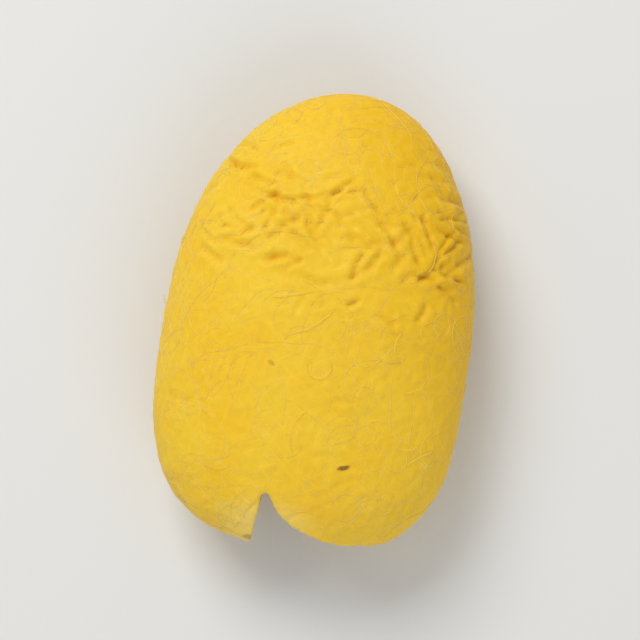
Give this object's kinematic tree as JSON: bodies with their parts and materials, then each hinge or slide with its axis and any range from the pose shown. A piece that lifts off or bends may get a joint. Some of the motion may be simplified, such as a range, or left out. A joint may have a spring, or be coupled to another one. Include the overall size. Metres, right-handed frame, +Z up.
{
  "type": "silk cocoon",
  "caption": "Hollow yellow silk cocoon shell, slit open at one end and pressed partly flat, lying on its underside.",
  "frame": {"origin": "on the ground, under the middle of the shell's bounding box", "axes": "+Z up from the flat resting spot, +Y along the shell to its closed tip, with the slit in the -Y end, and +X across the shell"},
  "size_m": [0.0262, 0.0386, 0.014],
  "materials": {
    "spun_silk": "matted natural silk, semi-matt"
  },
  "bodies": {
    "root": {"cocoon_shell": "spun_silk"}
  },
  "joints": []
}
